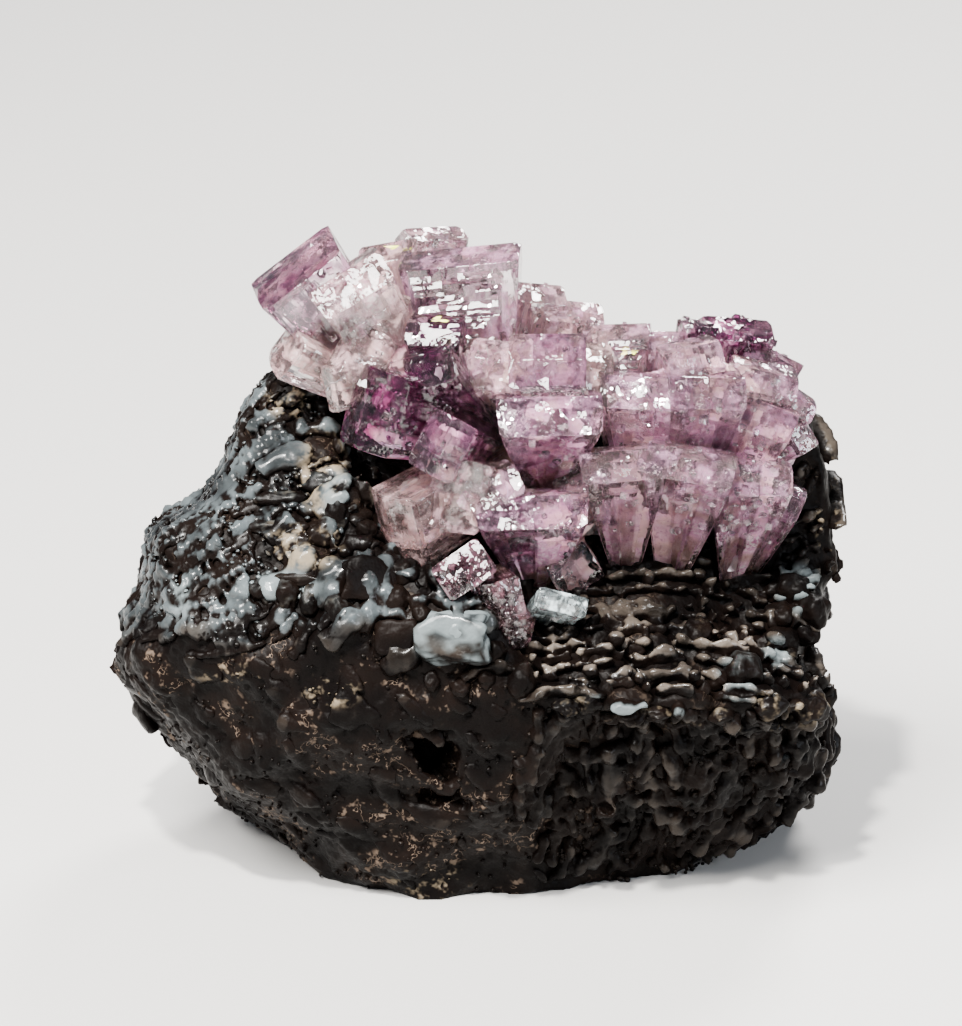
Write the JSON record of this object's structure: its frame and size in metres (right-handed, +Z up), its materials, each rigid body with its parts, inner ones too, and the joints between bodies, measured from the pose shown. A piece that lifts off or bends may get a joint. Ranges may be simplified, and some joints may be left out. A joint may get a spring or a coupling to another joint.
{
  "type": "adamite cluster on matrix",
  "caption": "Mineral specimen: violet wedge-shaped adamite crystals grown together in the hollow of a dark, lumpy ironstone matrix that rests on a flat base.",
  "frame": {"origin": "middle of the bounding box, on the plane that the specimen stands on", "axes": "+X across the specimen to its right, +Y from the crystal side to the back, +Z up"},
  "size_m": [0.0428, 0.0266, 0.0388],
  "materials": {
    "matrix": "dark brown to black ironstone, matt in the hollows and glossy on its rounded skins",
    "adamite_crystals": "clear pink to violet crystal, glassy and finely striated",
    "rim_crystals": "clouded pink crystal, glassy",
    "pale_blade": "milky blue-white crystal, glossy"
  },
  "bodies": {
    "root": {"matrix": "matrix", "adamite_crystals": "adamite_crystals", "rim_crystals": "rim_crystals", "pale_blade": "pale_blade"}
  },
  "joints": []
}
